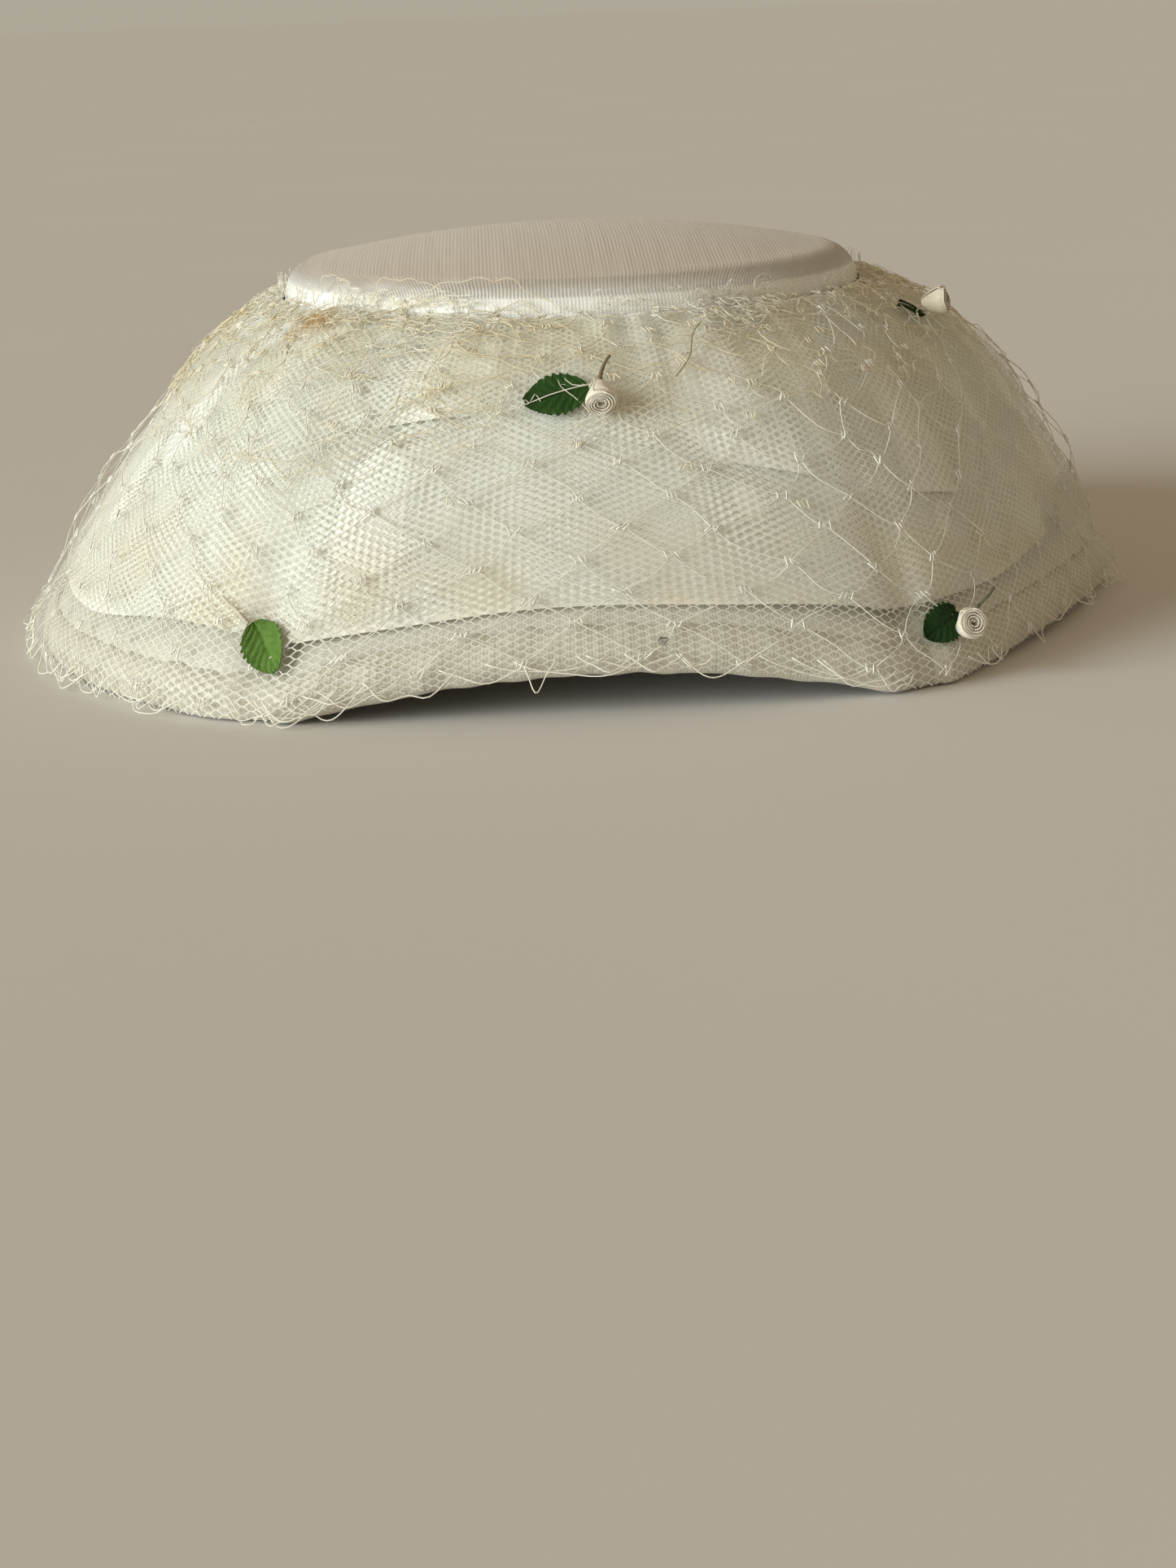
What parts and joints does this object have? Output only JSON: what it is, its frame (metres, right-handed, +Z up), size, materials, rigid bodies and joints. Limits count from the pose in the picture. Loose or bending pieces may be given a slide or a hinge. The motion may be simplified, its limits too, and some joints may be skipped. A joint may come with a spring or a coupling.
{
  "type": "picture hat",
  "caption": "Shallow crowned silk picture hat with a six-cornered mushroom brim, a padded edge, tented tulle and coarse net, rolled ribbon buds and green leaves.",
  "frame": {"origin": "on the surface that the hat rests on, under the middle of the hat", "axes": "+Z up through the crown, -Y towards the front, +X towards the viewer's right as seen from the front"},
  "size_m": [0.3584, 0.3202, 0.1235],
  "materials": {
    "crown_silk": "slubbed silk, soft sheen",
    "brim_silk": "slubbed silk, soft sheen",
    "roll_silk": "padded silk, soft sheen",
    "tulle": "fine net, translucent",
    "net_thread": "knotted silk thread",
    "leaf_cloth": "pressed woven cloth",
    "bud_ribbon": "rolled ribbon",
    "stem_tape": "paper taped wire"
  },
  "bodies": {
    "root": {"crown": "crown_silk", "brim": "brim_silk", "edge_roll": "roll_silk", "tulle_under": "tulle", "tulle_over": "tulle", "veil_net": "net_thread", "leaf_front": "leaf_cloth", "leaf_left": "leaf_cloth", "leaf_right": "leaf_cloth", "leaf_side": "leaf_cloth", "bud_front": "bud_ribbon", "bud_right": "bud_ribbon", "bud_side": "bud_ribbon", "stem_left": "stem_tape", "stem_front": "stem_tape", "stem_right": "stem_tape"}
  },
  "joints": []
}
